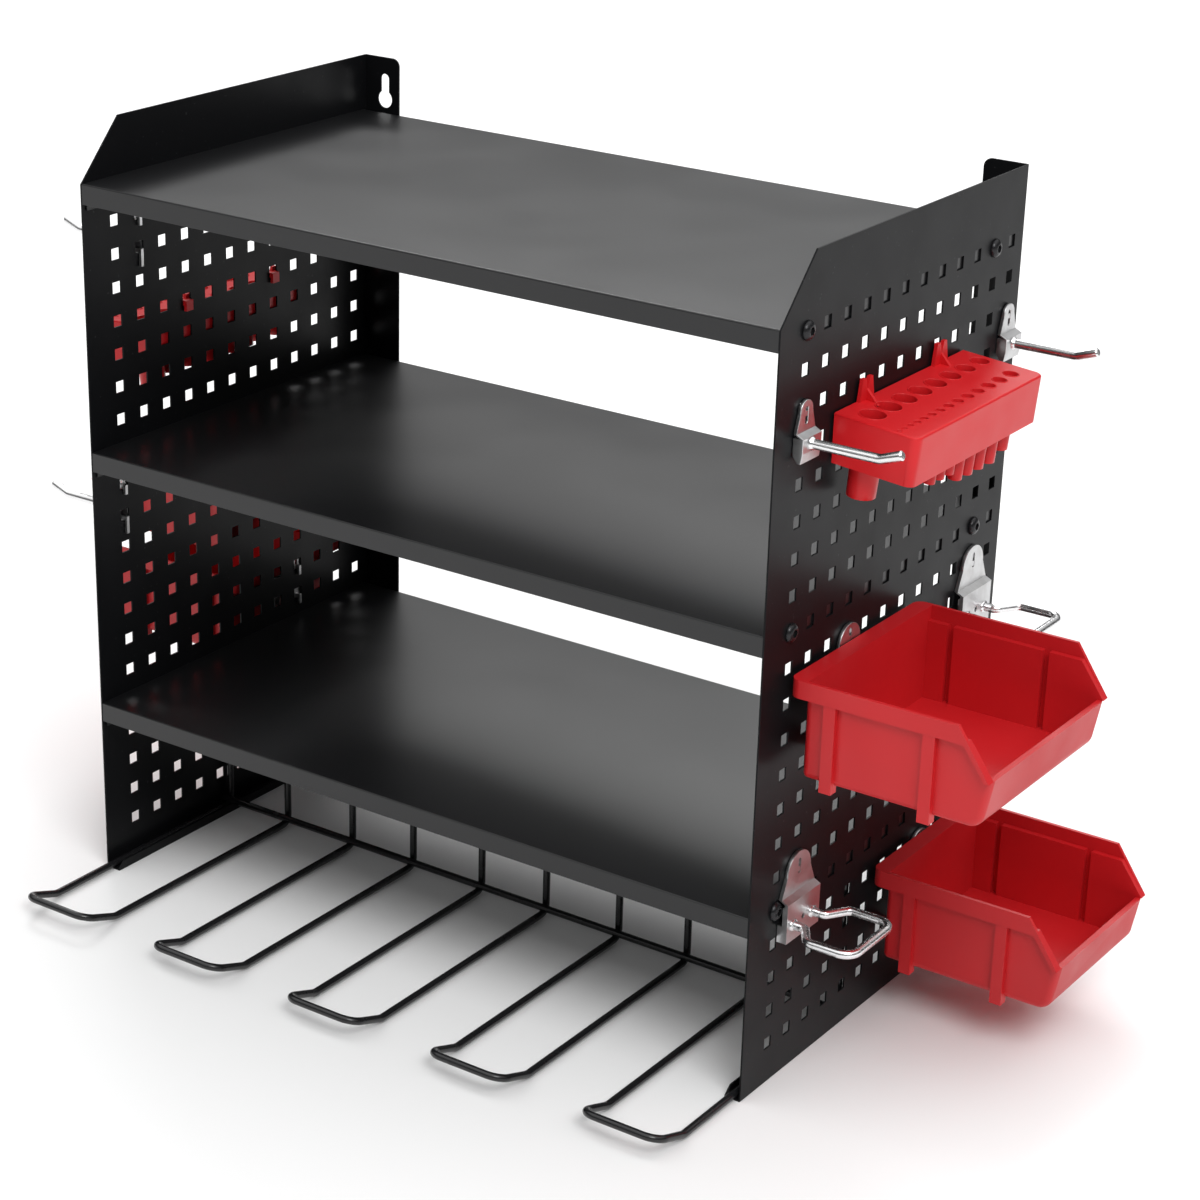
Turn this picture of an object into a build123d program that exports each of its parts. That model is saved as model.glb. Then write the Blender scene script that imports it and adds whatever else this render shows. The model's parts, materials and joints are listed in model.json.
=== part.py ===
"""Steel tool stand with pegboard sides, three shelves, a wire tool rack and lift-off accessories.

Millimetres. Z is up, Y runs from the open front (-Y) to the wall (+Y), and X runs across the stand.
The origin is the middle of the bottom of the whole stand with its accessories on.
"""

import os
from math import cos, radians, sin, sqrt

from build123d import *

os.makedirs("parts", exist_ok=True)

# ---- driving dimensions -----------------------------------------------------------------
sheet = 1.0
bend = 0.9
stand_half_width = 230.0
panel_front = -91.0
panel_back = 169.0
panel_height = 465.0
chamfer_run = 32.0
chamfer_drop = 34.5
fold_relief = 3.0

pitch = 20.0
hole = 7.0
columns = 12
rows = 21
first_column_y = -65.0
first_row_z = 425.0

flange_width = 27.0
flange_corner = 5.0
keyhole_inset = 15.0
keyhole_z = 438.8
keyhole_radius = 5.5
keyhole_slot = 6.3
keyhole_length = 15.9

channel_width = 10.0
channel_lip = 5.5
lip_slant = 5.0

shelf_back = 165.0
shelf_rise = 6.0
shelf_lip = 12.0
shelf_flange = 16.0
shelf_rows = {"top": 1, "middle": 9, "bottom": 17}
screw_columns = (1, 11)

screw_radius = 3.0
screw_head_radius = 5.2
screw_head_height = 2.8
screw_length = 8.0
socket_across_corners = 4.6
socket_depth = 1.6
screw_rim_height = 0.7
screw_dome = (4.2, 2.1)
screw_crown_radius = 2.3
nut_across_corners = 11.5
nut_height = 5.0
clearance = 0.1

wire = 4.4
loop_spacing = 100.65
loop_half_width = 24.0
loop_back = 20.5
loop_bend = 6.0
loop_front_bend_y = -141.0
loop_tip_y = -166.8
loop_tip_rise = 9.2
loop_tip_corner = 9.0
loop_knee = 12.0

strip_width = 18.0
strip_thickness = 2.0
strip_half_length = 227.4
stud_radius = 2.5
stud_length = 9.0
stud_nut_corners = 9.2
stud_nut_height = 4.0

plate = 2.0
plate_gap = 0.3
plate_face = plate_gap + plate
plate_slot_length = 9.0
tab_thickness = 2.0
tab_slot = 2.5
tab_neck_low = -3.45
tab_neck_high = -0.45
tab_behind = 0.4
tab_short_tail = 6.4
tab_long_tail = 11.0

hook_wire_radius = 2.6
ring_wire_radius = 2.5

bin_wall = 2.0
bin_back = 3.0
bin_rear_wall = 11.0
bin_rim_front = 100.0
bin_lip_front = 119.0
bin_lip_drop = 27.5
bin_floor_front = 114.0
bin_depth = 55.5
bin_flare = 3.5
bin_collar = 10.0
bin_rib_out = 3.0
bin_rib_half = 3.5
bin_foot = 3.5
bin_rib_places = (27.0, 84.0)
bin_rib_wall = 1.6
bin_groove_extra = 0.4
bin_front_radius = 9.0
bin_heel_radius = 3.0
bin_upright_radius = 4.0
bin_collar_radius = 6.0
bin_lip_wall = 2.5
bin_lip_inside = 3.4
bin_front_inside = 2.4
bin_slope_inside = 4.8
bin_rear_rim_wall = 1.8
spacer_rise = 4.0
spacer_gap = 0.6
spacer_heights = (8.0, 16.0)

holder_length = 140.0
holder_reach = 48.6
holder_height = 26.5
holder_droop = 5.0
holder_back = 1.0
holder_wall = 2.2
holder_drop = 9.7
holder_margin = 2.5
holder_corner = 5.0
holder_edge = 1.2
clip_foot_half = 7.5
clip_top_half = 5.0
clip_top = 2.0
clip_notch_half = 2.0
clip_notch_low = -4.0
clip_gusset = 9.0
clip_neck_half = 3.0
tube_taper = 1.0


# ---- places on the hole grid ------------------------------------------------------------
def column_y(number):
    return first_column_y + pitch * (number - 1)


def row_z(number):
    return first_row_z - pitch * (number - 1)


grid_middle_y = (column_y(1) + column_y(columns)) / 2
grid_middle_z = (row_z(1) + row_z(rows)) / 2
panel_inside = stand_half_width - sheet
leg_z = sheet + wire / 2


def keep(piece, name):
    """Label a finished piece and write it under its own name."""
    piece.part.label = name
    export_step(piece.part, f"parts/{name}.step")


def on_left(piece):
    """The same piece on the other side of the stand."""
    with BuildPart() as twin:
        mirror(piece.part, about=Plane.YZ)
    return twin


# ---- side panels ------------------------------------------------------------------------
def side_panel():
    with BuildPart() as panel:
        with BuildSketch(Plane.YZ.offset(panel_inside)):
            with BuildLine():
                Polyline(
                    (panel_front, 0),
                    (panel_back, 0),
                    (panel_back, panel_height),
                    (panel_front + chamfer_run, panel_height),
                    (panel_front, panel_height - chamfer_drop),
                    close=True,
                )
            make_face()
            with Locations((grid_middle_y, grid_middle_z)):
                with GridLocations(pitch, pitch, columns, rows):
                    Rectangle(hole, hole, mode=Mode.SUBTRACT)
        extrude(amount=sheet)

        # rear flange, folded inwards, with a keyhole near its top
        keyhole_x = panel_inside - keyhole_inset
        with BuildSketch(Plane.XZ.offset(-panel_back)) as flange:
            with Locations((stand_half_width, fold_relief)):
                Rectangle(flange_width, panel_height - fold_relief, align=(Align.MAX, Align.MIN))
            inner_top = flange.vertices().group_by(Axis.X)[0].sort_by(Axis.Y)[-1]
            fillet(inner_top, flange_corner)
            with Locations((keyhole_x, keyhole_z)):
                Circle(keyhole_radius, mode=Mode.SUBTRACT)
                Rectangle(
                    keyhole_slot,
                    keyhole_length - keyhole_slot / 2,
                    align=(Align.CENTER, Align.MIN),
                    mode=Mode.SUBTRACT,
                )
            with Locations((keyhole_x, keyhole_z + keyhole_length - keyhole_slot / 2)):
                Circle(keyhole_slot / 2, mode=Mode.SUBTRACT)
        extrude(amount=sheet)

        # bottom channel, folded inwards, with a short lip that is cut slanting at the front
        channel_back = panel_back - fold_relief
        with BuildSketch(Plane.XY):
            with Locations((stand_half_width, panel_front)):
                Rectangle(channel_width, channel_back - panel_front, align=(Align.MAX, Align.MIN))
        extrude(amount=sheet)
        with BuildSketch(Plane.YZ.offset(stand_half_width - channel_width)):
            with BuildLine():
                Polyline(
                    (panel_front, 0),
                    (channel_back, 0),
                    (channel_back, channel_lip),
                    (panel_front + lip_slant, channel_lip),
                    (panel_front, sheet),
                    close=True,
                )
            make_face()
        extrude(amount=sheet)

        outside = panel.edges().group_by(Axis.X)[-1]
        folds = outside.filter_by(Axis.Z).sort_by(Axis.Y)[-1:] + outside.filter_by(Axis.Y).sort_by(Axis.Z)[:1]
        fillet(folds, bend)
    return panel


right_panel = side_panel()
keep(right_panel, "side_panel_right")
keep(on_left(right_panel), "side_panel_left")


# ---- shelves ----------------------------------------------------------------------------
def shelf(screw_z):
    top = screw_z + shelf_rise
    depth = shelf_back - panel_front
    with BuildPart() as tray:
        with BuildSketch(Plane.XY.offset(top - sheet)):
            with Locations((0, panel_front)):
                Rectangle(2 * panel_inside, depth, align=(Align.CENTER, Align.MIN))
        extrude(amount=sheet)
        with BuildSketch(Plane.XY.offset(top - shelf_lip)):
            with Locations((0, panel_front)):
                Rectangle(2 * panel_inside, sheet, align=(Align.CENTER, Align.MIN))
            with Locations((0, shelf_back)):
                Rectangle(2 * panel_inside, sheet, align=(Align.CENTER, Align.MAX))
        extrude(amount=shelf_lip - sheet)
        with BuildSketch(Plane.XY.offset(top - shelf_flange)):
            with Locations(
                (-panel_inside + sheet / 2, panel_front + depth / 2),
                (panel_inside - sheet / 2, panel_front + depth / 2),
            ):
                Rectangle(sheet, depth - 2 * fold_relief)
        extrude(amount=shelf_flange - sheet)
        with BuildSketch(Plane.YZ):
            with Locations(*[(column_y(number), screw_z) for number in screw_columns]):
                Circle(screw_radius + clearance)
        extrude(amount=stand_half_width, both=True, mode=Mode.SUBTRACT)
        long_edges = tray.edges().group_by(Axis.Z)[-1].filter_by(Axis.X)
        fillet(long_edges, bend)
    return tray


for level, row in shelf_rows.items():
    keep(shelf(row_z(row)), f"shelf_{level}")


# ---- shelf screws and nuts --------------------------------------------------------------
def hardware_planes(x):
    """Planes at every shelf screw, on both sides, facing outwards, at this distance from the middle."""
    for row in shelf_rows.values():
        for number in screw_columns:
            for side in (-1, 1):
                yield Plane(
                    origin=(side * x, column_y(number), row_z(row)),
                    x_dir=(0, 1, 0),
                    z_dir=(side, 0, 0),
                )


def button_screw():
    with BuildPart() as screw:
        with BuildSketch(Plane.XZ):
            with BuildLine():
                Line((0, -screw_length), (screw_radius, -screw_length))
                Line((screw_radius, -screw_length), (screw_radius, 0))
                Line((screw_radius, 0), (screw_head_radius, 0))
                Line((screw_head_radius, 0), (screw_head_radius, screw_rim_height))
                ThreePointArc(
                    (screw_head_radius, screw_rim_height),
                    screw_dome,
                    (screw_crown_radius, screw_head_height),
                )
                Line((screw_crown_radius, screw_head_height), (0, screw_head_height))
                Line((0, screw_head_height), (0, -screw_length))
            make_face()
        revolve(axis=Axis.Z)
        with BuildSketch(Plane.XY.offset(screw_head_height)):
            RegularPolygon(socket_across_corners / 2, 6)
        extrude(amount=-socket_depth, mode=Mode.SUBTRACT)
    return screw


one_screw = button_screw().part
with BuildPart() as shelf_screws:
    for plane in hardware_planes(stand_half_width):
        add(plane.location * one_screw)
keep(shelf_screws, "shelf_screws")

with BuildPart() as shelf_nuts:
    for plane in hardware_planes(panel_inside - sheet - nut_height):
        with BuildSketch(plane):
            RegularPolygon(nut_across_corners / 2, 6)
            Circle(screw_radius + clearance, mode=Mode.SUBTRACT)
        extrude(amount=nut_height)
keep(shelf_nuts, "shelf_nuts")

# ---- wire tool rack ---------------------------------------------------------------------
shelf_underside = row_z(shelf_rows["bottom"]) + shelf_rise - sheet
strip_underside = shelf_underside - strip_thickness
nest = loop_bend - (loop_bend - wire) / sqrt(2) + clearance / 2


def wire_loop(middle_x):
    left_x = middle_x - loop_half_width
    right_x = middle_x + loop_half_width
    tip_z = leg_z + loop_tip_rise
    with BuildPart() as loop:
        with BuildLine() as route:
            FilletPolyline(
                (left_x, loop_back, strip_underside),
                (left_x, loop_back, leg_z),
                (left_x, loop_front_bend_y, leg_z),
                (left_x, loop_tip_y, tip_z),
                (right_x, loop_tip_y, tip_z),
                (right_x, loop_front_bend_y, leg_z),
                (right_x, loop_back, leg_z),
                (right_x, loop_back, strip_underside),
                radius=(loop_bend, loop_knee, loop_tip_corner, loop_tip_corner, loop_knee, loop_bend),
            )
        with BuildSketch(Plane(origin=route.line @ 0, z_dir=route.line % 0)):
            Circle(wire / 2)
        sweep()
    return loop


for number in range(5):
    keep(wire_loop(loop_spacing * (number - 2)), f"wire_loop_{number + 1}")

with BuildPart() as cross_wire:
    with BuildSketch(Plane.YZ):
        with Locations((loop_back - nest, leg_z + nest)):
            Circle(wire / 2)
    extrude(amount=strip_half_length, both=True)
keep(cross_wire, "rack_cross_wire")

with BuildPart() as rack_strip:
    with BuildSketch(Plane.XY.offset(strip_underside)):
        with Locations((0, loop_back)):
            Rectangle(2 * strip_half_length, strip_width)
            with GridLocations(loop_spacing, 0, 4, 1):
                Circle(stud_radius + clearance, mode=Mode.SUBTRACT)
    extrude(amount=strip_thickness)
keep(rack_strip, "rack_strip")

with BuildPart() as rack_studs:
    with BuildSketch(Plane.XY.offset(shelf_underside)):
        with Locations((0, loop_back)):
            with GridLocations(loop_spacing, 0, 4, 1):
                Circle(stud_radius)
    extrude(amount=-stud_length)
keep(rack_studs, "rack_studs")

with BuildPart() as rack_nuts:
    with BuildSketch(Plane.XY.offset(strip_underside)):
        with Locations((0, loop_back)):
            with GridLocations(loop_spacing, 0, 4, 1):
                RegularPolygon(stud_nut_corners / 2, 6)
                Circle(stud_radius + clearance, mode=Mode.SUBTRACT)
    extrude(amount=-stud_nut_height)
keep(rack_nuts, "rack_nuts")


# ---- plates that hook into the hole grid ------------------------------------------------
# Every accessory is drawn on the right side. Its own heights are measured from the middle
# of the upper hole that it uses, and its own depths outwards from the panel's outer face.
def tab_points(root, hole_drop, tail):
    """Outline of a hooked tab through the hole that lies hole_drop below the upper one."""
    back = -sheet - tab_behind
    low = tab_neck_low - hole_drop
    high = tab_neck_high - hole_drop
    return (
        (root, low),
        (back, low),
        (back, high - tail),
        (back - plate, high - tail),
        (back - plate, high),
        (root, high),
    )


def at_hole(y, z, shift=0.0):
    """Plane across the stand through a hole: its x runs outwards and its y upwards."""
    return Plane(origin=(stand_half_width, y + shift, z), x_dir=(1, 0, 0), z_dir=(0, -1, 0))


def on_panel(y, z, out):
    """Plane on the panel, this far out: its x runs along Y and its y upwards."""
    return Plane(origin=(stand_half_width + out, y, z), x_dir=(0, 1, 0), z_dir=(1, 0, 0))


def upper_plate(y, z, top, round_half, fold_half, fold_drop, slot_middle):
    """Round-topped plate that widens down to its fold, with the slot that its tab was cut from."""
    shoulder = top - round_half
    with BuildSketch(on_panel(y, z, plate_gap)) as outline:
        with BuildLine():
            ThreePointArc((-round_half, shoulder), (0, top), (round_half, shoulder))
            Polyline(
                (round_half, shoulder),
                (fold_half, -fold_drop),
                (-fold_half, -fold_drop),
                (-round_half, shoulder),
            )
        make_face()
        with Locations((0, slot_middle)):
            SlotOverall(plate_slot_length, tab_slot, rotation=90, mode=Mode.SUBTRACT)
    extrude(outline.sketch, amount=plate)
    with BuildSketch(at_hole(y, z, -tab_slot / 2)) as tab:
        Polygon(*tab_points(plate_face, 0, tab_short_tail), align=None)
    extrude(tab.sketch, amount=-tab_thickness)


hook_top = 5.0
hook_round_half = 6.0
hook_slot_middle = -3.0
hook_fold_half = 9.2
hook_fold_drop = 11.0
hook_step_out = 3.9
hook_step_drop = 1.9
hook_plate_drop = 26.0
hook_lean_from = 20.5
hook_lean = 1.0
prong_drop = 17.0
prong_straight = 44.5
prong_tip_out = 57.0
prong_tip_rise = 4.5
prong_bend = 8.0
prong_end_chamfer = 0.8
weld_collar = 1.2
weld_height = 1.6
weld_taper = 30.0
hook_face = plate_face + hook_step_out


def hook_plate(y, z):
    """Stepped sheet plate of a single hook, with a wall at each side that rests on the panel."""
    with BuildPart() as body:
        upper_plate(y, z, hook_top, hook_round_half, hook_fold_half, hook_fold_drop, hook_slot_middle)
        with BuildSketch(at_hole(y, z)):
            with BuildLine():
                Polyline(
                    (plate_gap, -hook_fold_drop),
                    (plate_face, -hook_fold_drop),
                    (hook_face, -hook_fold_drop - hook_step_drop),
                    (hook_face, -hook_lean_from),
                    (hook_face - hook_lean, -hook_plate_drop),
                    (hook_face - hook_lean - plate, -hook_plate_drop),
                    (hook_face - plate, -hook_lean_from),
                    (hook_face - plate, -hook_fold_drop - plate),
                    close=True,
                )
            make_face()
        extrude(amount=hook_fold_half, both=True)
        for side in (-1, 1):
            with BuildSketch(at_hole(y, z, side * (hook_fold_half - sheet))):
                with BuildLine():
                    Polyline(
                        (hook_face - plate, -hook_fold_drop - plate),
                        (hook_face - plate, -hook_lean_from),
                        (hook_face - hook_lean - plate, -hook_plate_drop),
                        (plate_gap, -hook_plate_drop + 2 * plate),
                        (plate_gap, -hook_fold_drop - plate),
                        close=True,
                    )
                make_face()
            extrude(amount=sheet, both=True)
        with BuildSketch(at_hole(y, z)):
            Polygon(*tab_points(hook_face - plate, pitch, tab_long_tail), align=None)
        extrude(amount=tab_thickness / 2, both=True)
    return body


def hook_prong(y, z):
    """Straight round prong with an upturned end and a weld collar at its root."""
    with BuildPart() as prong:
        with BuildLine(at_hole(y, z)) as route:
            FilletPolyline(
                (hook_face, -prong_drop),
                (prong_straight, -prong_drop),
                (prong_tip_out, -prong_drop + prong_tip_rise),
                radius=prong_bend,
            )
        with BuildSketch(Plane(origin=route.line @ 0, z_dir=route.line % 0)):
            Circle(hook_wire_radius)
        sweep()
        tip = prong.faces().sort_by(Axis.X)[-1]
        chamfer(tip.edges(), prong_end_chamfer)
        with BuildSketch(on_panel(y, z - prong_drop, hook_face)):
            Circle(hook_wire_radius + weld_collar)
        extrude(amount=weld_height, taper=weld_taper)
    return prong


ring_top = 8.5
ring_round_half = 12.0
ring_slot_middle = 0.0
ring_fold_half = 17.0
ring_fold_drop = 14.5
ring_plate_drop = 39.5
ring_plate_hole = 1.6
ring_plate_hole_drop = 29.0
ring_wall_foot = 29.5
ring_nose = 0.7
ring_drop = 30.5
ring_root_half = 10.0
ring_half = 23.0
ring_neck = 13.5
ring_shoulder = 22.0
ring_end = 48.5
ring_corner = 8.0
ring_bend = 5.0


def ring_hook_plate(y, z):
    """Stepped sheet plate of a ring hook, folded back to the panel at its sides and bottom."""
    with BuildPart() as body:
        upper_plate(y, z, ring_top, ring_round_half, ring_fold_half, ring_fold_drop, ring_slot_middle)
        with BuildSketch(at_hole(y, z)):
            with BuildLine():
                Polyline(
                    (plate_gap, -ring_fold_drop),
                    (plate_face, -ring_fold_drop),
                    (hook_face, -ring_fold_drop - plate),
                    (hook_face, -ring_fold_drop - 2 * plate),
                    (hook_face - plate, -ring_fold_drop - 2 * plate),
                    (hook_face - plate, -ring_fold_drop - plate),
                    close=True,
                )
            make_face()
        extrude(amount=ring_fold_half, both=True)
        with BuildSketch(on_panel(y, z, hook_face - plate)):
            with Locations((0, -ring_plate_drop)):
                Rectangle(
                    2 * ring_fold_half,
                    ring_plate_drop - ring_fold_drop - 2 * plate,
                    align=(Align.CENTER, Align.MIN),
                )
            with Locations((0, -ring_plate_hole_drop)):
                Circle(ring_plate_hole, mode=Mode.SUBTRACT)
        extrude(amount=plate)
        with BuildSketch(at_hole(y, z)):
            with Locations((plate_gap, -ring_plate_drop)):
                Rectangle(hook_step_out, sheet, align=(Align.MIN, Align.MIN))
        extrude(amount=ring_fold_half, both=True)
        for side in (-1, 1):
            with BuildSketch(at_hole(y, z, side * (ring_fold_half - sheet))):
                with BuildLine():
                    Polyline(
                        (hook_face - plate, -ring_fold_drop - 2 * plate),
                        (hook_face - plate, -ring_plate_drop),
                        (plate_gap, -ring_plate_drop),
                        (plate_gap, -ring_wall_foot),
                        (plate_gap + screw_head_height, -ring_wall_foot),
                        (plate_gap + screw_head_height, -ring_fold_drop - 2 * plate),
                        close=True,
                    )
                make_face()
            extrude(amount=sheet, both=True)
        with BuildSketch(at_hole(y, z)):
            Polygon(
                (hook_face - plate, tab_neck_low - pitch),
                (-ring_nose, tab_neck_low - pitch),
                (-ring_nose, tab_neck_high - pitch),
                (hook_face - plate, tab_neck_high - pitch),
                align=None,
            )
        extrude(amount=tab_thickness / 2, both=True)
    return body


def ring_wire(y, z):
    """Closed bow of round wire with both ends on the plate."""
    level = Plane(origin=(stand_half_width, y, z - ring_drop))
    with BuildPart() as ring:
        with BuildLine(level) as route:
            FilletPolyline(
                (hook_face, -ring_root_half),
                (ring_neck, -ring_root_half),
                (ring_shoulder, -ring_half),
                (ring_end, -ring_half),
                (ring_end, ring_half),
                (ring_shoulder, ring_half),
                (ring_neck, ring_root_half),
                (hook_face, ring_root_half),
                radius=(ring_bend, ring_bend, ring_corner, ring_corner, ring_bend, ring_bend),
            )
        with BuildSketch(Plane(origin=route.line @ 0, z_dir=route.line % 0)):
            Circle(ring_wire_radius)
        sweep()
    return ring


hanger_top = 6.5
hanger_round_half = 11.0
hanger_half = 16.0
hanger_slot_middle = -0.5
hanger_plate_drop = 26.0
hanger_tongue_face = 7.2


def bin_hanger(y, z, rim_z):
    """Plate with a tongue turned up under the bin's rear rim."""
    tongue_top = rim_z - bin_wall - z
    with BuildPart() as body:
        upper_plate(y, z, hanger_top, hanger_round_half, hanger_half, hanger_plate_drop, hanger_slot_middle)
        with BuildSketch(at_hole(y, z)):
            with BuildLine():
                Polyline(
                    (plate_gap, -hanger_plate_drop - plate),
                    (hanger_tongue_face, -hanger_plate_drop - plate),
                    (hanger_tongue_face, tongue_top),
                    (hanger_tongue_face - plate, tongue_top),
                    (hanger_tongue_face - plate, -hanger_plate_drop),
                    (plate_gap, -hanger_plate_drop),
                    close=True,
                )
            make_face()
        extrude(amount=hanger_half, both=True)
        with BuildSketch(at_hole(y, z)):
            Polygon(*tab_points(plate_face, pitch, tab_short_tail), align=None)
        extrude(amount=tab_thickness / 2, both=True)
    return body


# ---- bins -------------------------------------------------------------------------------
def parts_bin(y, rim_z, width):
    """Open-front bin with a flared collar, hollow side ribs and a rear rim that hooks on the hanger."""
    half = width / 2
    body_half = half - bin_flare
    inside_half = body_half - bin_wall
    section = at_hole(y, rim_z)
    with BuildPart() as box:
        with BuildSketch(section) as outline:
            with BuildLine():
                Polyline(
                    (bin_rear_wall, 0),
                    (bin_rim_front, 0),
                    (bin_lip_front, -bin_lip_drop),
                    (bin_floor_front, -bin_depth),
                    (bin_rear_wall, -bin_depth),
                    close=True,
                )
            make_face()
            low = outline.vertices().group_by(Axis.Y)[0].sort_by(Axis.X)
            fillet(low[-1], bin_front_radius)
            fillet(outline.vertices().group_by(Axis.Y)[0].sort_by(Axis.X)[0], bin_heel_radius)
        extrude(amount=body_half, both=True)
        body_corners = box.edges().filter_by(Axis.Z).group_by(Axis.X)[0]
        fillet(body_corners, bin_upright_radius)

        with BuildSketch(section):
            with BuildLine():
                Polyline(
                    (bin_back, 0),
                    (bin_rim_front, 0),
                    (bin_lip_front, -bin_lip_drop),
                    (bin_lip_front - bin_lip_wall, -bin_lip_drop),
                    (bin_rim_front + bin_flare, -bin_collar),
                    (bin_back, -bin_collar),
                    close=True,
                )
            make_face()
        extrude(amount=half, both=True)
        collar_corners = box.edges().filter_by(Axis.Z).group_by(Axis.X)[0]
        fillet(collar_corners, bin_collar_radius)

        for place in bin_rib_places:
            for side in (-1, 1):
                with BuildSketch(Plane.XY.offset(rim_z - bin_depth - bin_foot)):
                    with Locations((stand_half_width + place, y + side * body_half)):
                        Rectangle(2 * bin_rib_half, 2 * bin_rib_out)
                extrude(amount=bin_depth + bin_foot - bin_collar)

        # inside of the box, of the flared collar and of the hollow rear rim
        with BuildSketch(section):
            with BuildLine():
                Polyline(
                    (bin_rear_wall + bin_wall, sheet),
                    (bin_lip_front + bin_wall, sheet),
                    (bin_lip_front + bin_wall, -bin_lip_drop),
                    (bin_lip_front - bin_lip_inside, -bin_lip_drop),
                    (bin_floor_front - bin_front_inside, -bin_depth + bin_wall),
                    (bin_rear_wall + bin_wall, -bin_depth + bin_wall),
                    close=True,
                )
            make_face()
        extrude(amount=inside_half, both=True, mode=Mode.SUBTRACT)
        with BuildSketch(section):
            with BuildLine():
                Polyline(
                    (bin_rear_wall + bin_wall, sheet),
                    (bin_lip_front + bin_wall, sheet),
                    (bin_lip_front + bin_wall, -bin_lip_drop),
                    (bin_lip_front, -bin_lip_drop),
                    (bin_rim_front + bin_slope_inside, bin_wall - bin_collar),
                    (bin_rear_wall + bin_wall, bin_wall - bin_collar),
                    close=True,
                )
            make_face()
        extrude(amount=half - bin_wall, both=True, mode=Mode.SUBTRACT)
        with BuildSketch(section):
            with Locations((bin_back + bin_rear_rim_wall, -bin_wall)):
                Rectangle(
                    bin_rear_wall - bin_back - bin_rear_rim_wall,
                    bin_collar,
                    align=(Align.MIN, Align.MAX),
                )
        extrude(amount=half - bin_wall, both=True, mode=Mode.SUBTRACT)

        # grooves behind the ribs
        for place in bin_rib_places:
            for side in (-1, 1):
                with BuildSketch(Plane.XY.offset(rim_z - bin_depth + bin_wall)):
                    with Locations((stand_half_width + place, y + side * inside_half)):
                        Rectangle(2 * (bin_rib_half - bin_rib_wall), 2 * (bin_rib_out + bin_groove_extra))
                extrude(amount=bin_depth, mode=Mode.SUBTRACT)

        # two upright spacers that keep the bin level against the panel
        for side in (-1, 1):
            with BuildSketch(at_hole(y + side * width / 4, rim_z - bin_depth + spacer_rise)):
                Polygon(
                    (bin_rear_wall + sheet / 2, 0),
                    (spacer_gap, 0),
                    (spacer_gap, spacer_heights[0]),
                    (bin_rear_wall + sheet / 2, spacer_heights[1]),
                    align=None,
                )
            extrude(amount=bin_wall / 2, both=True)
    return box


# ---- bit holder -------------------------------------------------------------------------
inner_row_count = 8
inner_row_out = 15.0
inner_row_first = -57.0
inner_row_step = 16.7
inner_row_radii = (7.0, 5.0)
outer_row_count = 14
outer_row_out = 36.0
outer_row_first = -67.0
outer_row_steps = (5.6, 13.8)
outer_row_radii = (1.0, 4.0)
tube_skin = 1.5
long_tube = 44.0
inner_tube = 36.0
outer_tubes = ((6, holder_height - holder_wall), (9, 40.0), (13, 46.0), (14, 42.0))


def inner_row():
    """Place, hole radius and tube length of each large socket; only the first tube is long."""
    for number in range(inner_row_count):
        share = number / (inner_row_count - 1)
        radius = inner_row_radii[0] + share * (inner_row_radii[1] - inner_row_radii[0])
        length = long_tube if number == 0 else inner_tube
        yield inner_row_first + number * inner_row_step, radius, length


def outer_row():
    """Place, hole radius and tube length of each small socket; gaps and holes grow to the rear."""
    along = outer_row_first
    for number in range(outer_row_count):
        share = number / (outer_row_count - 1)
        radius = outer_row_radii[0] + share * (outer_row_radii[1] - outer_row_radii[0])
        length = next(reach for group_end, reach in outer_tubes if number < group_end)
        yield along, radius, length
        along += outer_row_steps[0] + share * (outer_row_steps[1] - outer_row_steps[0])


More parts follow.
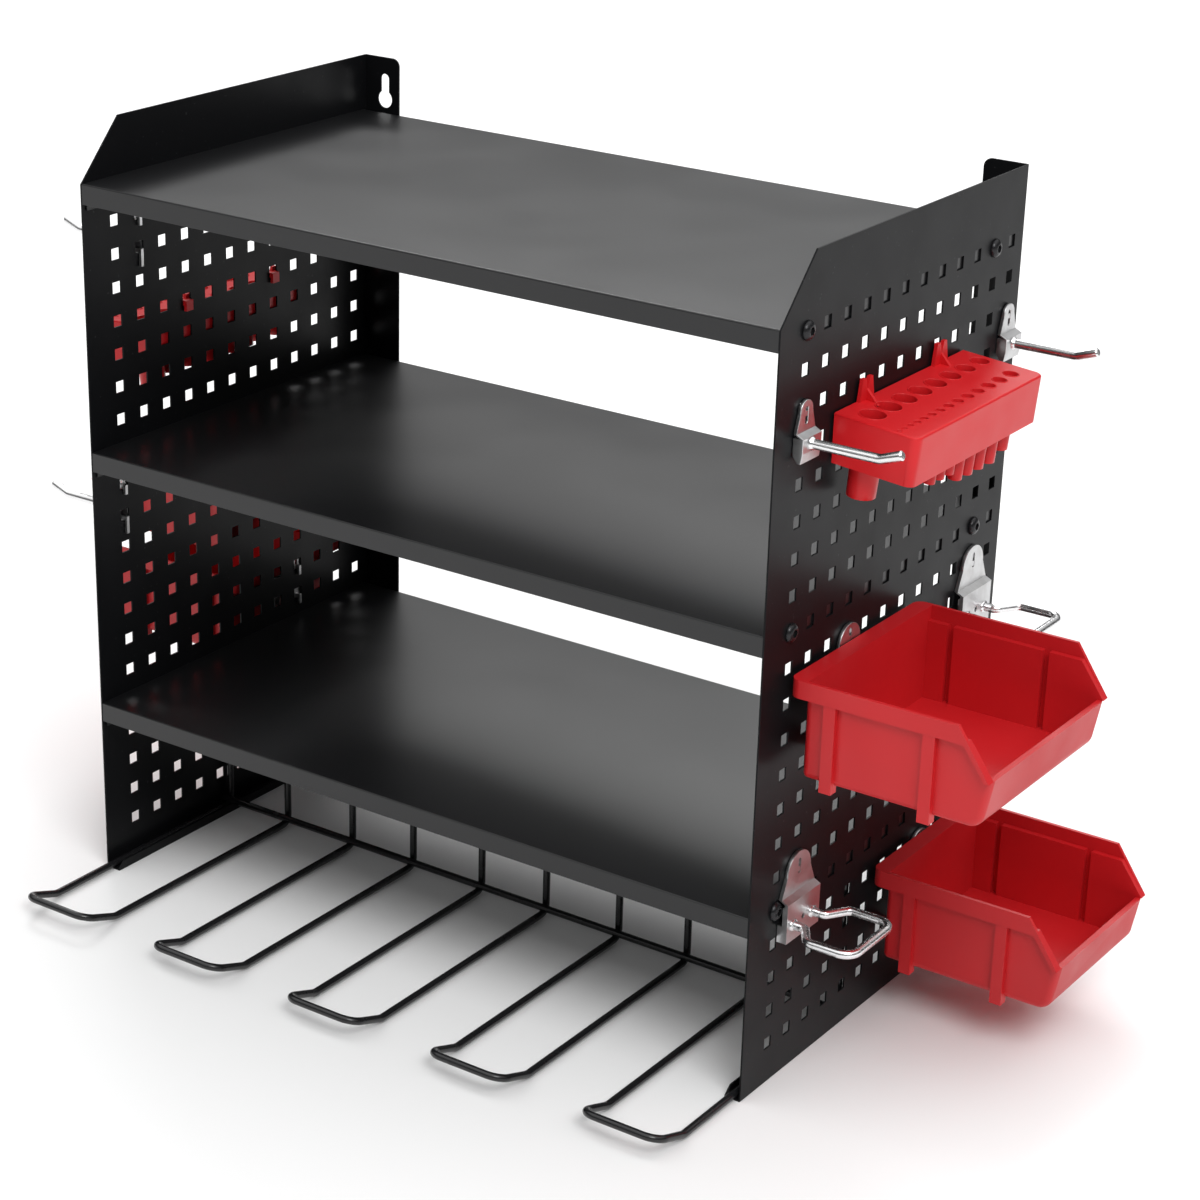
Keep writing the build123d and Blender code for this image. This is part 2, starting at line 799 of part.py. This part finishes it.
def bit_holder(clip_columns, clip_row):
    """Moulded shell with sockets for bits, drooping a little, on two clips in the hole grid."""
    clip_z = row_z(clip_row)
    middle_y = (column_y(clip_columns[0]) + column_y(clip_columns[1])) / 2
    droop = radians(holder_droop)
    deck = Plane(
        origin=(stand_half_width + holder_back, middle_y, clip_z - holder_drop),
        x_dir=(cos(droop), 0, -sin(droop)),
        z_dir=(sin(droop), 0, cos(droop)),
    )
    sockets = [(inner_row_out, *socket) for socket in inner_row()]
    sockets += [(outer_row_out, *socket) for socket in outer_row()]
    with BuildPart() as holder:
        with BuildSketch(deck):
            with Locations((-holder_margin, 0)):
                Rectangle(holder_reach + holder_margin, holder_length, align=(Align.MIN, Align.CENTER))
        extrude(amount=-holder_height)
        upright = holder.edges().filter_by(Axis(deck.origin, deck.z_dir))
        fillet(upright.sort_by(Axis.X)[-2:], holder_corner)
        rim = holder.faces().sort_by(Axis.Z)[-1].edges()
        fillet(rim, holder_edge)
        with BuildSketch(deck.offset(-holder_wall)):
            with Locations((holder_wall + holder_margin, 0)):
                Rectangle(
                    holder_reach - 2 * holder_wall - holder_margin,
                    holder_length - 2 * holder_wall,
                    align=(Align.MIN, Align.CENTER),
                )
        extrude(amount=-holder_height, mode=Mode.SUBTRACT)
        for out, along, radius, length in sockets:
            with BuildSketch(deck.offset(-holder_wall / 2)):
                with Locations((out, along)):
                    Circle(radius + tube_skin)
            extrude(amount=holder_wall / 2 - length, taper=tube_taper)
        for out, along, radius, length in sockets:
            with BuildSketch(deck):
                with Locations((out, along)):
                    Circle(radius)
            extrude(amount=tube_skin - length, taper=tube_taper, mode=Mode.SUBTRACT)
        split(bisect_by=Plane((stand_half_width + holder_back, 0, 0), z_dir=(1, 0, 0)), keep=Keep.TOP)

        for number in clip_columns:
            clip_y = column_y(number)
            with BuildSketch(on_panel(clip_y, clip_z, holder_back)):
                with BuildLine():
                    Polyline(
                        (-clip_foot_half, -holder_drop - plate),
                        (clip_foot_half, -holder_drop - plate),
                        (clip_foot_half, -holder_drop),
                        (clip_top_half, clip_top),
                        (clip_notch_half, clip_top),
                        (0, clip_notch_low),
                        (-clip_notch_half, clip_top),
                        (-clip_top_half, clip_top),
                        (-clip_foot_half, -holder_drop),
                        close=True,
                    )
                make_face()
            extrude(amount=plate)
            with BuildSketch(at_hole(clip_y, clip_z)):
                Polygon(
                    (holder_back + plate, -holder_drop - plate),
                    (holder_back + clip_gusset, -holder_drop - plate),
                    (holder_back + plate, clip_notch_low),
                    align=None,
                )
            extrude(amount=tab_thickness / 2, both=True)
            with BuildSketch(at_hole(clip_y, clip_z)):
                Polygon(*tab_points(holder_back + plate / 2, 0, tab_short_tail), align=None)
            extrude(amount=clip_neck_half, both=True)
    return holder


# ---- accessories on the right side ------------------------------------------------------
wide_bin = 137.0
narrow_bin = 114.5
wide_rim_rise = -3.0
narrow_rim_rise = 5.3
wide_bin_shift = 4.5
left_wide_shift = 5.4
narrow_bin_shift = -1.0


def hung(kind, number, row):
    """Call a piece's maker at a hole of the grid."""
    return kind(column_y(number), row_z(row))


for place, number, row in (("front", 1, 3), ("rear", 12, 3)):
    keep(hung(hook_plate, number, row), f"hook_plate_right_{place}")
    keep(hung(hook_prong, number, row), f"hook_prong_right_{place}")

for place, number, row in (("front", 2, 16), ("rear", 11, 10)):
    keep(hung(ring_hook_plate, number, row), f"ring_plate_right_{place}")
    keep(hung(ring_wire, number, row), f"ring_wire_right_{place}")

wide_rim = row_z(10) + wide_rim_rise
keep(bin_hanger(column_y(4), row_z(10), wide_rim), "hanger_right_wide")
keep(parts_bin(column_y(4) + wide_bin_shift, wide_rim, wide_bin), "bin_right_wide")

narrow_rim = row_z(18) + narrow_rim_rise
keep(bin_hanger(column_y(9), row_z(18), narrow_rim), "hanger_right_narrow")
keep(parts_bin(column_y(9) + narrow_bin_shift, narrow_rim, narrow_bin), "bin_right_narrow")

keep(bit_holder((4, 8), 3), "bit_holder_right")

# ---- accessories on the left side -------------------------------------------------------
for place, number, row in (("upper", 2, 2), ("lower", 1, 10)):
    keep(on_left(hung(hook_plate, number, row)), f"hook_plate_left_{place}")
    keep(on_left(hung(hook_prong, number, row)), f"hook_prong_left_{place}")

left_wide_rim = row_z(11) + wide_rim_rise
keep(on_left(bin_hanger(column_y(9), row_z(11), left_wide_rim)), "hanger_left_wide")
keep(on_left(parts_bin(column_y(9) + left_wide_shift, left_wide_rim, wide_bin)), "bin_left_wide")

left_narrow_rim = row_z(15) + narrow_rim_rise
keep(on_left(bin_hanger(column_y(9), row_z(15), left_narrow_rim)), "hanger_left_narrow")
keep(on_left(parts_bin(column_y(9) + narrow_bin_shift, left_narrow_rim, narrow_bin)), "bin_left_narrow")

keep(on_left(bit_holder((4, 8), 5)), "bit_holder_left")
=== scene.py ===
"""Studio scene of the steel tool stand with pegboard sides."""

import json
from math import cos, pi, radians, sin

import bpy
from mathutils import Euler, Matrix, Vector


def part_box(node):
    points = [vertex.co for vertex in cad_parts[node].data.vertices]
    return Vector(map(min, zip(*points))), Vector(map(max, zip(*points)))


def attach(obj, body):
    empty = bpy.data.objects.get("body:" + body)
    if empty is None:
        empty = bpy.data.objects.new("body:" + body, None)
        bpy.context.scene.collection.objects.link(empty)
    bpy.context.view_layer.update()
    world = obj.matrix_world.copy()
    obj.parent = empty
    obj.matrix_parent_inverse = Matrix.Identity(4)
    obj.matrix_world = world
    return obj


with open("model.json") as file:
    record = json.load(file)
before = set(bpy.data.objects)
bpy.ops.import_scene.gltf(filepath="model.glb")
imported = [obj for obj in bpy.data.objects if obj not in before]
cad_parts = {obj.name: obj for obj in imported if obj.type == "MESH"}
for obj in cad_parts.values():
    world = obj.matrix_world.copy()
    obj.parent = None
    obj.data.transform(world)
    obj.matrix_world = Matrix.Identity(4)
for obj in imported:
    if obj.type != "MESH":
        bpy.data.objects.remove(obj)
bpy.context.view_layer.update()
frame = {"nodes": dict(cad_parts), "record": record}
nodes = frame["nodes"]
MM = 0.001

# ---- the view ---------------------------------------------------------------------------
CAMERA_PLACE = (0.9154, -1.2792, 0.8335)
CAMERA_AZIMUTH = 34.81
CAMERA_ELEVATION = 22.46
CAMERA_ROLL = 1.193
LENS_MM = 88.2
SENSOR_MM = 36.0
SHIFT = (0.0542, 0.0309)


def add_camera():
    data = bpy.data.cameras.new("camera")
    data.lens = LENS_MM
    data.sensor_width = SENSOR_MM
    data.shift_x, data.shift_y = SHIFT
    data.clip_start = 0.05
    data.clip_end = 100.0
    camera = bpy.data.objects.new("camera", data)
    level = Euler((radians(90 - CAMERA_ELEVATION), 0, radians(CAMERA_AZIMUTH))).to_matrix().to_4x4()
    roll = Matrix.Rotation(radians(CAMERA_ROLL), 4, "Z")
    camera.matrix_world = Matrix.Translation(CAMERA_PLACE) @ level @ roll
    bpy.context.scene.collection.objects.link(camera)
    bpy.context.scene.camera = camera


# ---- shader helpers ---------------------------------------------------------------------
SURFACE_IOR = 1.5


def range_node(tree, value, low, high, start, stop):
    """Node that maps a value from the range start to stop onto the range low to high."""
    node = tree.nodes.new("ShaderNodeMapRange")
    node.inputs["From Min"].default_value = start
    node.inputs["From Max"].default_value = stop
    node.inputs["To Min"].default_value = low
    node.inputs["To Max"].default_value = high
    tree.links.new(value, node.inputs["Value"])
    return node


class Surface:
    """A Principled material with a few short ways to vary it over the surface."""

    def __init__(self, name, color, roughness, metallic=0.0):
        self.material = bpy.data.materials.new(name)
        self.material.use_nodes = True
        self.tree = self.material.node_tree
        self.shader = self.tree.nodes["Principled BSDF"]
        self.color = color
        self.roughness = roughness
        self.shader.inputs["Base Color"].default_value = (*color, 1)
        self.shader.inputs["Roughness"].default_value = roughness
        self.shader.inputs["Metallic"].default_value = metallic
        self.shader.inputs["IOR"].default_value = SURFACE_IOR
        self.place = self.tree.nodes.new("ShaderNodeTexCoord").outputs["Object"]

    def link(self, source, target):
        self.tree.links.new(source, target)

    def set_specular(self, level):
        self.shader.inputs["Specular IOR Level"].default_value = level

    def stretched(self, scale):
        mapping = self.tree.nodes.new("ShaderNodeMapping")
        mapping.inputs["Scale"].default_value = scale
        self.link(self.place, mapping.inputs["Vector"])
        return mapping.outputs["Vector"]

    def noise(self, scale, detail=3.0, place=None):
        texture = self.tree.nodes.new("ShaderNodeTexNoise")
        texture.inputs["Scale"].default_value = scale
        texture.inputs["Detail"].default_value = detail
        self.link(place or self.place, texture.inputs["Vector"])
        return texture.outputs["Fac"]

    def ranged(self, value, low, high, start=0.3, stop=0.7):
        return range_node(self.tree, value, low, high, start, stop).outputs["Result"]

    def vary_roughness(self, value, spread):
        self.link(
            self.ranged(value, self.roughness - spread, self.roughness + spread),
            self.shader.inputs["Roughness"],
        )

    def vary_color(self, value, other, start=0.35, stop=0.75):
        mix = self.tree.nodes.new("ShaderNodeMix")
        mix.data_type = "RGBA"
        mix.inputs["A"].default_value = (*self.color, 1)
        mix.inputs["B"].default_value = (*other, 1)
        self.link(self.ranged(value, 0, 1, start, stop), mix.inputs["Factor"])
        self.link(mix.outputs["Result"], self.shader.inputs["Base Color"])

    def bump(self, value, strength, depth_mm):
        node = self.tree.nodes.new("ShaderNodeBump")
        node.inputs["Strength"].default_value = strength
        node.inputs["Distance"].default_value = depth_mm * MM
        self.link(value, node.inputs["Height"])
        self.link(node.outputs["Normal"], self.shader.inputs["Normal"])


# ---- materials --------------------------------------------------------------------------
def panel_paint():
    """Satin black powder coat with a fine grain and a little dust."""
    paint = Surface("panel_paint", color=(0.006, 0.0062, 0.007), roughness=0.33)
    paint.set_specular(0.11)
    paint.vary_roughness(paint.noise(scale=35.0, detail=5.0), spread=0.05)
    dust = paint.noise(scale=420.0, detail=2.0)
    paint.vary_color(dust, other=(0.03, 0.03, 0.032), start=0.70, stop=0.78)
    paint.bump(paint.noise(scale=1500.0, detail=2.0), strength=0.10, depth_mm=0.12)
    return paint.material


def shelf_paint():
    """Smoother black coat of the shelves, with soft reflections."""
    paint = Surface("shelf_paint", color=(0.008, 0.0082, 0.009), roughness=0.30)
    paint.vary_roughness(paint.noise(scale=18.0, detail=1.0), spread=0.012)
    return paint.material


def wire_coat():
    """Thicker black coat of the tool rack's wires, a little uneven."""
    coat = Surface("wire_coat", color=(0.010, 0.010, 0.011), roughness=0.24)
    coat.vary_roughness(coat.noise(scale=60.0, detail=3.0), spread=0.06)
    coat.bump(coat.noise(scale=380.0, detail=3.0), strength=0.15, depth_mm=0.2)
    return coat.material


def screw_black():
    """Blackened steel of the screws."""
    finish = Surface("screw_black", color=(0.022, 0.022, 0.024), roughness=0.30, metallic=0.6)
    finish.vary_roughness(finish.noise(scale=700.0, detail=2.0), spread=0.08)
    return finish.material


def nut_zinc():
    """Plain zinc plating of the nuts."""
    finish = Surface("nut_zinc", color=(0.55, 0.55, 0.54), roughness=0.35, metallic=1.0)
    finish.vary_roughness(finish.noise(scale=500.0, detail=2.0), spread=0.08)
    return finish.material


def zinc_sheet():
    """Bright zinc plated sheet with a faint brushed grain."""
    zinc = Surface("zinc_sheet", color=(0.60, 0.60, 0.605), roughness=0.34, metallic=1.0)
    grain = zinc.noise(scale=260.0, detail=4.0, place=zinc.stretched((1.0, 6.0, 0.6)))
    zinc.vary_roughness(grain, spread=0.06)
    dulling = zinc.noise(scale=120.0, detail=4.0)
    zinc.vary_color(dulling, other=(0.47, 0.465, 0.46), start=0.45, stop=0.8)
    zinc.bump(grain, strength=0.04, depth_mm=0.05)
    return zinc.material


def zinc_wire():
    """Bright zinc plated wire with small drawing marks."""
    zinc = Surface("zinc_wire", color=(0.80, 0.80, 0.805), roughness=0.24, metallic=1.0)
    marks = zinc.noise(scale=500.0, detail=4.0, place=zinc.stretched((0.25, 1.0, 1.0)))
    zinc.vary_roughness(marks, spread=0.07)
    zinc.bump(marks, strength=0.06, depth_mm=0.06)
    return zinc.material


def bin_plastic():
    """Satin red moulding with a fine grain and rubbed patches."""
    red = Surface("bin_plastic", color=(0.56, 0.011, 0.015), roughness=0.45)
    red.set_specular(0.42)
    red.vary_roughness(red.noise(scale=28.0, detail=5.0), spread=0.07)
    rubbing = red.noise(scale=9.0, detail=3.0)
    red.vary_color(rubbing, other=(0.49, 0.010, 0.014), start=0.3, stop=0.7)
    red.bump(red.noise(scale=1800.0, detail=2.0), strength=0.08, depth_mm=0.10)
    return red.material


def holder_plastic():
    """Glossier red moulding of the bit holders."""
    red = Surface("holder_plastic", color=(0.62, 0.013, 0.017), roughness=0.34)
    red.set_specular(0.28)
    red.vary_roughness(red.noise(scale=40.0, detail=4.0), spread=0.06)
    red.bump(red.noise(scale=1500.0, detail=2.0), strength=0.08, depth_mm=0.1)
    return red.material


MATERIAL_MAKERS = {
    "black_panel": panel_paint,
    "black_shelf": shelf_paint,
    "black_wire": wire_coat,
    "black_screw": screw_black,
    "nut_steel": nut_zinc,
    "zinc_plate": zinc_sheet,
    "zinc_wire": zinc_wire,
    "bin_red": bin_plastic,
    "holder_red": holder_plastic,
}


# ---- edges of the solids ----------------------------------------------------------------
# Corners sharper than this angle, in degrees, are rounded by the width of their slot.
EDGE_ANGLE = 40
EDGE_SEGMENTS = 2
WELD_REACH_MM = 0.01
EDGE_MM = {
    "black_panel": 0.12,
    "black_shelf": 0.25,
    "black_wire": 0.15,
    "black_screw": 0.25,
    "nut_steel": 0.35,
    "zinc_plate": 0.30,
    "zinc_wire": 0.20,
    "bin_red": 0.55,
    "holder_red": 0.40,
}


def round_edges(node, width_mm):
    """Give a node's sharp edges a small radius that catches the light."""
    weld = node.modifiers.new("weld", "WELD")
    weld.merge_threshold = WELD_REACH_MM * MM
    edge = node.modifiers.new("edge", "BEVEL")
    edge.width = width_mm * MM
    edge.segments = EDGE_SEGMENTS
    edge.limit_method = "ANGLE"
    edge.angle_limit = radians(EDGE_ANGLE)
    edge.use_clamp_overlap = True
    edge.harden_normals = True


def dress_frame():
    """Give each node its material and its rounded edges."""
    for entry in frame["record"]["subparts"]:
        node = nodes[entry["node"]]
        for slot in node.material_slots:
            slot.material = materials[entry["material_slot"]]
        round_edges(node, EDGE_MM[entry["material_slot"]])


# ---- small pieces that the solids don't have --------------------------------------------
# The wire loops of the tool rack, and one of their welds in widths of the cross wire: how far
# it is from the loop's side, how far out and down it sits, and its half sizes.
LOOP_COUNT = 5
RACK_WELD_ALONG = 0.35
RACK_WELD_SINK = 0.3
RACK_WELD_RADII = (0.40, 0.34, 0.34)

# The two welds of a ring hook: how far each is from the plate's middle, and its half sizes.
RING_ROOT_MM = 10.0
RING_WELD_RADII_MM = (1.6, 4.2, 3.4)

# The decks of the bit holders: their droop in degrees, and where a deck meets its panel.
HOLDER_DROOP = 5.0
DECK_OUT_MM = 231.0
DECK_MIDDLE_Y_MM = 35.0
DECK_HEIGHTS_MM = {"right": 375.3, "left": 335.3}

# The two rows of sockets in a deck, counted from the front. The holes of the inner row get
# smaller along it, and the holes and gaps of the outer row get larger.
INNER_ROW_COUNT = 8
INNER_ROW_OUT_MM = 15.0
INNER_ROW_FIRST_MM = -57.0
INNER_ROW_STEP_MM = 16.7
INNER_ROW_RADIUS_MM = 7.0
INNER_ROW_RADIUS_LOSS_MM = 2.0
OUTER_ROW_COUNT = 14
OUTER_ROW_OUT_MM = 36.0
OUTER_ROW_FIRST_MM = -67.0
OUTER_ROW_STEP_MM = 5.6
OUTER_ROW_STEP_GAIN_MM = 8.2
OUTER_ROW_RADIUS_MM = 1.0
OUTER_ROW_RADIUS_GAIN_MM = 3.0

# Radius of the round section of a socket's rim.
RIM_SECTION_MM = 0.35


def place_mesh(name, points, faces, slot, body):
    """Make one smooth mesh and hang it on a body of the frame."""
    mesh = bpy.data.meshes.new(name)
    mesh.from_pydata(points, [], faces)
    mesh.update()
    for face in mesh.polygons:
        face.use_smooth = True
    piece = bpy.data.objects.new(name, mesh)
    piece.data.materials.append(materials[slot])
    bpy.context.scene.collection.objects.link(piece)
    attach(piece, body)


def blob_mesh(centers, radii, around=16, rows=8):
    """Points and faces of closed ellipsoids, one at each place."""
    points, faces = [], []
    for center in centers:
        first = len(points)
        points.append(Vector(center) + Vector((0, 0, radii[2])))
        for row in range(1, rows):
            tilt = pi * row / rows
            for step in range(around):
                turn = 2 * pi * step / around
                offset = (
                    radii[0] * sin(tilt) * cos(turn),
                    radii[1] * sin(tilt) * sin(turn),
                    radii[2] * cos(tilt),
                )
                points.append(Vector(center) + Vector(offset))
        points.append(Vector(center) - Vector((0, 0, radii[2])))
        last = len(points) - 1
        for step in range(around):
            after = (step + 1) % around
            faces.append((first, first + 1 + step, first + 1 + after))
            for row in range(rows - 2):
                low = first + 1 + row * around
                faces.append((low + step, low + around + step, low + around + after, low + after))
            low = last - around
            faces.append((low + step, last, low + after))
    return points, faces


def ring_mesh(rings, level, section, around=28, corners=8):
    """Points and faces of thin rings that lie in the plane called level."""
    points, faces = [], []
    for out, along, radius in rings:
        first = len(points)
        for step in range(around):
            turn = 2 * pi * step / around
            for corner in range(corners):
                tilt = 2 * pi * corner / corners
                reach = radius + section * cos(tilt)
                spot = (out + reach * cos(turn), along + reach * sin(turn), section * sin(tilt))
                points.append(level @ Vector(spot))
        for step in range(around):
            this = first + step * corners
            after = first + (step + 1) % around * corners
            for corner in range(corners):
                other = (corner + 1) % corners
                faces.append((this + corner, after + corner, after + other, this + other))
    return points, faces


def add_rack_welds():
    """Painted weld beads where the cross wire lies in the bends of the loops."""
    low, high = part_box("rack_cross_wire")
    middle = (low + high) / 2
    wire = high.z - low.z
    centers = []
    for number in range(1, LOOP_COUNT + 1):
        loop_low, loop_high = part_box(f"wire_loop_{number}")
        for x in (loop_low.x + wire / 2, loop_high.x - wire / 2):
            for side in (-1, 1):
                centers.append((
                    x + side * RACK_WELD_ALONG * wire,
                    middle.y + RACK_WELD_SINK * wire,
                    middle.z - RACK_WELD_SINK * wire,
                ))
    radii = tuple(radius * wire for radius in RACK_WELD_RADII)
    place_mesh("rack_welds", *blob_mesh(centers, radii), "black_wire", "stand")


def add_ring_welds(place):
    """Flattened welds that hold the two ends of a ring on its plate."""
    _, plate_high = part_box(f"ring_plate_right_{place}")
    ring_low, ring_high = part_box(f"ring_wire_right_{place}")
    middle = (ring_low + ring_high) / 2
    centers = [(plate_high.x, middle.y + side * RING_ROOT_MM * MM, middle.z) for side in (-1, 1)]
    radii = tuple(radius * MM for radius in RING_WELD_RADII_MM)
    name = f"ring_welds_{place}"
    place_mesh(name, *blob_mesh(centers, radii), "zinc_wire", f"ring_hook_right_{place}")


def socket_rings():
    """Place and radius of each socket mouth of a bit holder, in its own deck."""
    for number in range(INNER_ROW_COUNT):
        along = INNER_ROW_FIRST_MM + INNER_ROW_STEP_MM * number
        radius = INNER_ROW_RADIUS_MM - INNER_ROW_RADIUS_LOSS_MM * number / (INNER_ROW_COUNT - 1)
        yield INNER_ROW_OUT_MM, along, radius
    along = OUTER_ROW_FIRST_MM
    for number in range(OUTER_ROW_COUNT):
        share = number / (OUTER_ROW_COUNT - 1)
        yield OUTER_ROW_OUT_MM, along, OUTER_ROW_RADIUS_MM + OUTER_ROW_RADIUS_GAIN_MM * share
        along += OUTER_ROW_STEP_MM + share * OUTER_ROW_STEP_GAIN_MM


def add_socket_rims(side, name):
    """Raised rims round the sockets, on the drooping deck of a bit holder."""
    droop = radians(HOLDER_DROOP)
    across = (side * cos(droop), 0, -sin(droop))
    upright = (side * sin(droop), 0, cos(droop))
    level = Matrix((across, (0, side, 0), upright)).transposed().to_4x4()
    height = DECK_HEIGHTS_MM[name]
    level.translation = (side * DECK_OUT_MM * MM, DECK_MIDDLE_Y_MM * MM, height * MM)
    rings = [
        (out * MM, side * along * MM, (radius + RIM_SECTION_MM) * MM)
        for out, along, radius in socket_rings()
    ]
    points, faces = ring_mesh(rings, level, RIM_SECTION_MM * MM)
    place_mesh(f"socket_rims_{name}", points, faces, "holder_red", f"bit_holder_{name}_body")


def add_small_pieces():
    add_rack_welds()
    for place in ("front", "rear"):
        add_ring_welds(place)
    add_socket_rims(1, "right")
    add_socket_rims(-1, "left")


# ---- floor, light and background --------------------------------------------------------
FLOOR_SIZE = 30.0

# Brightness of the room, and how high a ray points where it starts and stops to rise.
ROOM_DIM, ROOM_BRIGHT = 0.10, 1.45
ROOM_DIM_BELOW, ROOM_BRIGHT_ABOVE = 0.30, 0.80


def add_floor():
    bpy.ops.mesh.primitive_plane_add(size=FLOOR_SIZE, location=(0, 0, 0))
    floor = bpy.context.object
    floor.name = "floor"
    pale = Surface("floor_paint", color=(0.90, 0.90, 0.90), roughness=0.6)
    floor.data.materials.append(pale.material)


def add_area_light(name, place, aim, size, power):
    data = bpy.data.lights.new(name, "AREA")
    data.shape = "RECTANGLE"
    data.size, data.size_y = size
    data.energy = power
    light = bpy.data.objects.new(name, data)
    light.location = place
    light.rotation_euler = (Vector(aim) - Vector(place)).to_track_quat("-Z", "Y").to_euler()
    bpy.context.scene.collection.objects.link(light)


def add_world():
    """A room that is dim near the horizon and bright overhead."""
    world = bpy.data.worlds.new("studio")
    world.use_nodes = True
    tree = world.node_tree
    place = tree.nodes.new("ShaderNodeTexCoord")
    split = tree.nodes.new("ShaderNodeSeparateXYZ")
    tree.links.new(place.outputs["Generated"], split.inputs["Vector"])
    rise = range_node(
        tree, split.outputs["Z"], ROOM_DIM, ROOM_BRIGHT, ROOM_DIM_BELOW, ROOM_BRIGHT_ABOVE
    )
    rise.interpolation_type = "SMOOTHSTEP"
    back = tree.nodes["Background"]
    back.inputs["Color"].default_value = (1.0, 1.0, 1.0, 1)
    tree.links.new(rise.outputs["Result"], back.inputs["Strength"])
    bpy.context.scene.world = world


add_camera()
add_floor()
add_world()
add_area_light("key", place=(1.9, -1.3, 2.4), aim=(0.2, 0, 0.2), size=(1.4, 1.4), power=40)
add_area_light("back", place=(-1.7, 2.6, 2.5), aim=(0, 0, 0.4), size=(2.6, 0.9), power=46)
bpy.context.scene.view_settings.view_transform = "Standard"

materials = {slot: maker() for slot, maker in MATERIAL_MAKERS.items()}
dress_frame()
add_small_pieces()
